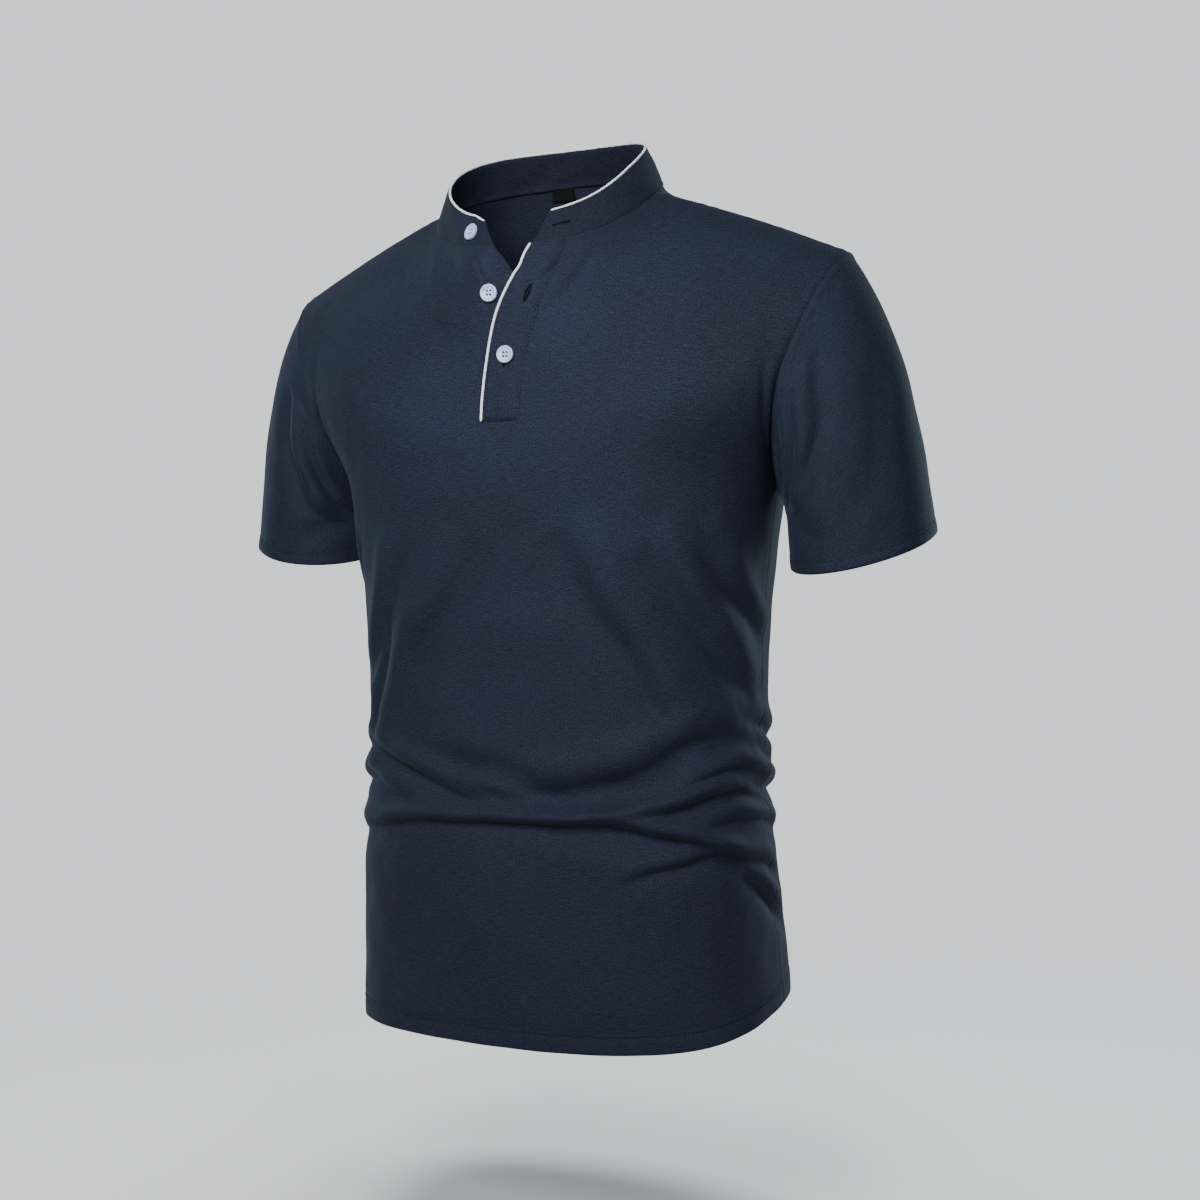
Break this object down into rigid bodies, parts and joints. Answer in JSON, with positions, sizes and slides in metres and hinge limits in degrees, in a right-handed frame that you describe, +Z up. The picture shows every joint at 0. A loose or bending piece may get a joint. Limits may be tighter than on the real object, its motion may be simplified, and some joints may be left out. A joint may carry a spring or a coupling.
{
  "type": "short-sleeved polo shirt with a band collar, in its worn hollow form",
  "caption": "Navy knit shirt with short sleeves, a standing collar band, a buttoned placket and white piping, filled out as worn with no wearer.",
  "frame": {"origin": "midway between the two points where the shoulder seams meet the neckline, where the wearer's shoulders and neck hold the shirt", "axes": "+Z up along the wearer's body, the front faces -Y, +X towards the wearer's left"},
  "size_m": [0.5793, 0.2594, 0.7005],
  "materials": {
    "navy_knit": "fine jersey knit, dark navy, matt with a faint sheen",
    "white_piping": "woven white cord, matt",
    "pearl_button": "pale bluish white resin, glossy",
    "black_label": "black woven tape, bare"
  },
  "bodies": {
    "root": {"front": "navy_knit", "back": "navy_knit", "sleeve_left": "navy_knit", "sleeve_right": "navy_knit", "collar_band": "navy_knit", "placket_over": "navy_knit", "placket_under": "navy_knit", "piping_collar": "white_piping", "piping_placket": "white_piping", "button_1": "pearl_button", "button_2": "pearl_button", "button_3": "pearl_button", "neck_label": "black_label"}
  },
  "joints": []
}
